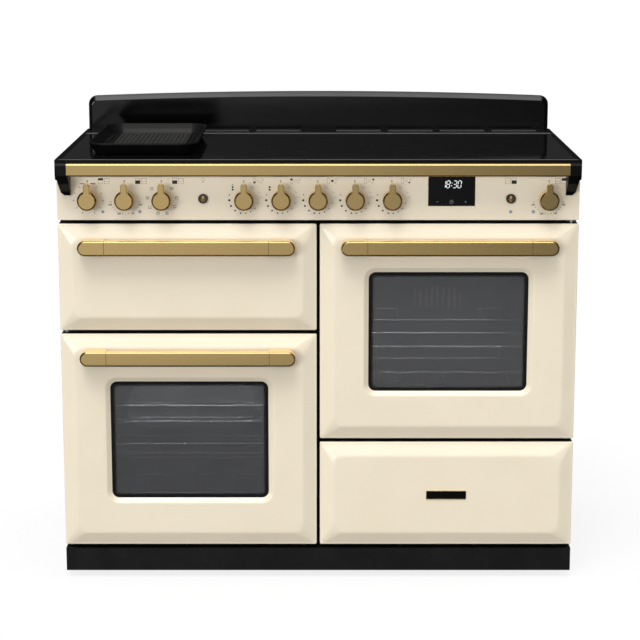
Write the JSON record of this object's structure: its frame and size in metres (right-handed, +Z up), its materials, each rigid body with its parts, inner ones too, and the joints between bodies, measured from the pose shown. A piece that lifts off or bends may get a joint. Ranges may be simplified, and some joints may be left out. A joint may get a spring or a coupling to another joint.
{
  "type": "induction range cooker",
  "caption": "Wide cream range cooker with a black glass hob, brass rail, handles and knobs, side-hinged oven doors, a grill and a drawer.",
  "frame": {"origin": "middle of the footprint on the floor", "axes": "+X to the right seen from the front, +Y towards the wall, +Z up"},
  "size_m": [1.092, 0.648, 0.994],
  "materials": {
    "cream_enamel": "smooth vitreous enamel, satin gloss",
    "black_enamel": "semi-gloss black enamel",
    "hob_glass": "polished black glass ceramic",
    "brass": "brushed brass, satin",
    "galvanised_steel": "zinc-coated sheet",
    "lamp_lens": "moulded lens, unlit",
    "black_plastic": "moulded black plastic",
    "module_steel": "plain steel",
    "cavity_enamel": "dark easy-clean enamel, fine speckle",
    "wool": "mineral wool blanket",
    "chrome_wire": "chromed wire",
    "element_steel": "oxidised sheath",
    "seal_rubber": "silicone seal",
    "motor_metal": "pressed aluminium",
    "door_glass": "tinted toughened glass",
    "cast_iron": "fine non-stick coating"
  },
  "bodies": {
    "root": {"base_chassis": "galvanised_steel", "plinth": "black_enamel", "side_panels": "black_enamel", "back_panel": "galvanised_steel", "front_frame": "black_enamel", "hob_frame": "black_enamel", "hob_glass": "hob_glass", "rear_upstand": "black_enamel", "front_rail": "brass", "rail_ends": "black_enamel", "control_panel": "cream_enamel", "clock_display": "hob_glass", "indicator_lamps": "lamp_lens", "control_switches": "black_plastic", "induction_units": "module_steel", "left_oven_liner": "cavity_enamel", "right_oven_liner": "cavity_enamel", "grill_liner": "cavity_enamel", "oven_insulation": "wool", "shelf_ladders": "chrome_wire", "oven_shelves": "chrome_wire", "fan_covers": "cavity_enamel", "heating_elements": "element_steel", "grill_pan": "cavity_enamel", "terminal_block": "black_plastic", "door_hinges": "module_steel", "oven_seals": "seal_rubber", "fan_motors": "motor_metal", "drawer_runners": "galvanised_steel", "levelling_feet": "black_plastic"},
    "knob_1_body": {"knob_1": "brass"},
    "knob_2_body": {"knob_2": "brass"},
    "knob_3_body": {"knob_3": "brass"},
    "knob_4_body": {"knob_4": "brass"},
    "knob_5_body": {"knob_5": "brass"},
    "knob_6_body": {"knob_6": "brass"},
    "knob_7_body": {"knob_7": "brass"},
    "knob_8_body": {"knob_8": "brass"},
    "knob_9_body": {"knob_9": "brass"},
    "lamp_button_body": {"lamp_button": "brass"},
    "drawer_button_body": {"drawer_button": "brass"},
    "left_fan_body": {"left_oven_fan": "motor_metal"},
    "right_fan_body": {"right_oven_fan": "motor_metal"},
    "left_roller_body": {"left_roller": "black_plastic"},
    "right_roller_body": {"right_roller": "black_plastic"},
    "griddle_body": {"griddle": "cast_iron"},
    "grill_door": {"grill_door_panel": "cream_enamel", "grill_door_liner": "cavity_enamel", "grill_handle": "brass"},
    "left_oven_door": {"left_door_panel": "cream_enamel", "left_door_glass": "door_glass", "left_door_liner": "cavity_enamel", "left_handle": "brass", "roasting_rack": "chrome_wire"},
    "right_oven_door": {"right_door_panel": "cream_enamel", "right_door_glass": "door_glass", "right_door_liner": "cavity_enamel", "right_handle": "brass"},
    "storage_drawer": {"drawer_front": "cream_enamel", "drawer_box": "galvanised_steel"}
  },
  "joints": [
    {"name": "knob_1_turn", "type": "hinge", "parent": "root", "child": "knob_1_body", "pos_m": [-0.478, -0.28, 0.8225], "axis": [0, 1, 0], "range_deg": [0, 270]},
    {"name": "knob_2_turn", "type": "hinge", "parent": "root", "child": "knob_2_body", "pos_m": [-0.4012, -0.28, 0.8225], "axis": [0, 1, 0], "range_deg": [0, 315]},
    {"name": "knob_3_turn", "type": "hinge", "parent": "root", "child": "knob_3_body", "pos_m": [-0.3244, -0.28, 0.8225], "axis": [0, 1, 0], "range_deg": [0, 285]},
    {"name": "knob_4_turn", "type": "hinge", "parent": "root", "child": "knob_4_body", "pos_m": [-0.1536, -0.28, 0.8225], "axis": [0, 1, 0], "range_deg": [0, 300]},
    {"name": "knob_5_turn", "type": "hinge", "parent": "root", "child": "knob_5_body", "pos_m": [-0.0768, -0.28, 0.8225], "axis": [0, 1, 0], "range_deg": [0, 300]},
    {"name": "knob_6_turn", "type": "hinge", "parent": "root", "child": "knob_6_body", "pos_m": [0, -0.28, 0.8225], "axis": [0, 1, 0], "range_deg": [0, 300]},
    {"name": "knob_7_turn", "type": "hinge", "parent": "root", "child": "knob_7_body", "pos_m": [0.0768, -0.28, 0.8225], "axis": [0, 1, 0], "range_deg": [0, 300]},
    {"name": "knob_8_turn", "type": "hinge", "parent": "root", "child": "knob_8_body", "pos_m": [0.1536, -0.28, 0.8225], "axis": [0, 1, 0], "range_deg": [0, 300]},
    {"name": "knob_9_turn", "type": "hinge", "parent": "root", "child": "knob_9_body", "pos_m": [0.478, -0.28, 0.8225], "axis": [0, 1, 0], "range_deg": [0, 285]},
    {"name": "lamp_button_press", "type": "slide", "parent": "root", "child": "lamp_button_body", "axis": [0, 1, 0], "range_m": [0, 0.0025], "stiffness_N_per_m": 600, "springref_m": -0.001},
    {"name": "drawer_button_press", "type": "slide", "parent": "root", "child": "drawer_button_body", "axis": [0, 1, 0], "range_m": [0, 0.0025], "stiffness_N_per_m": 600, "springref_m": -0.001},
    {"name": "left_oven_door_swing", "type": "hinge", "parent": "root", "child": "left_oven_door", "pos_m": [-0.531, -0.256, 0.305], "axis": [0, 0, -1], "range_deg": [0, 110]},
    {"name": "right_oven_door_swing", "type": "hinge", "parent": "root", "child": "right_oven_door", "pos_m": [0.531, -0.256, 0.54], "axis": [0, 0, 1], "range_deg": [0, 110]},
    {"name": "grill_door_drop", "type": "hinge", "parent": "root", "child": "grill_door", "pos_m": [-0.2731, -0.271, 0.5525], "axis": [1, 0, 0], "range_deg": [0, 90]},
    {"name": "drawer_slide", "type": "slide", "parent": "root", "child": "storage_drawer", "axis": [0, -1, 0], "range_m": [0, 0.4]},
    {"name": "left_fan_spin", "type": "hinge", "parent": "root", "child": "left_fan_body", "pos_m": [-0.2731, 0.12, 0.305], "axis": [0, 1, 0], "continuous": true},
    {"name": "right_fan_spin", "type": "hinge", "parent": "root", "child": "right_fan_body", "pos_m": [0.2731, 0.12, 0.54], "axis": [0, 1, 0], "continuous": true},
    {"name": "left_roller_roll", "type": "hinge", "parent": "root", "child": "left_roller_body", "pos_m": [-0.48, 0.277, 0.019], "axis": [1, 0, 0], "continuous": true},
    {"name": "right_roller_roll", "type": "hinge", "parent": "root", "child": "right_roller_body", "pos_m": [0.48, 0.277, 0.019], "axis": [1, 0, 0], "continuous": true},
    {"name": "griddle_lift", "type": "slide", "parent": "root", "child": "griddle_body", "axis": [0, 0, 1], "range_m": [0, 0.15]}
  ]
}
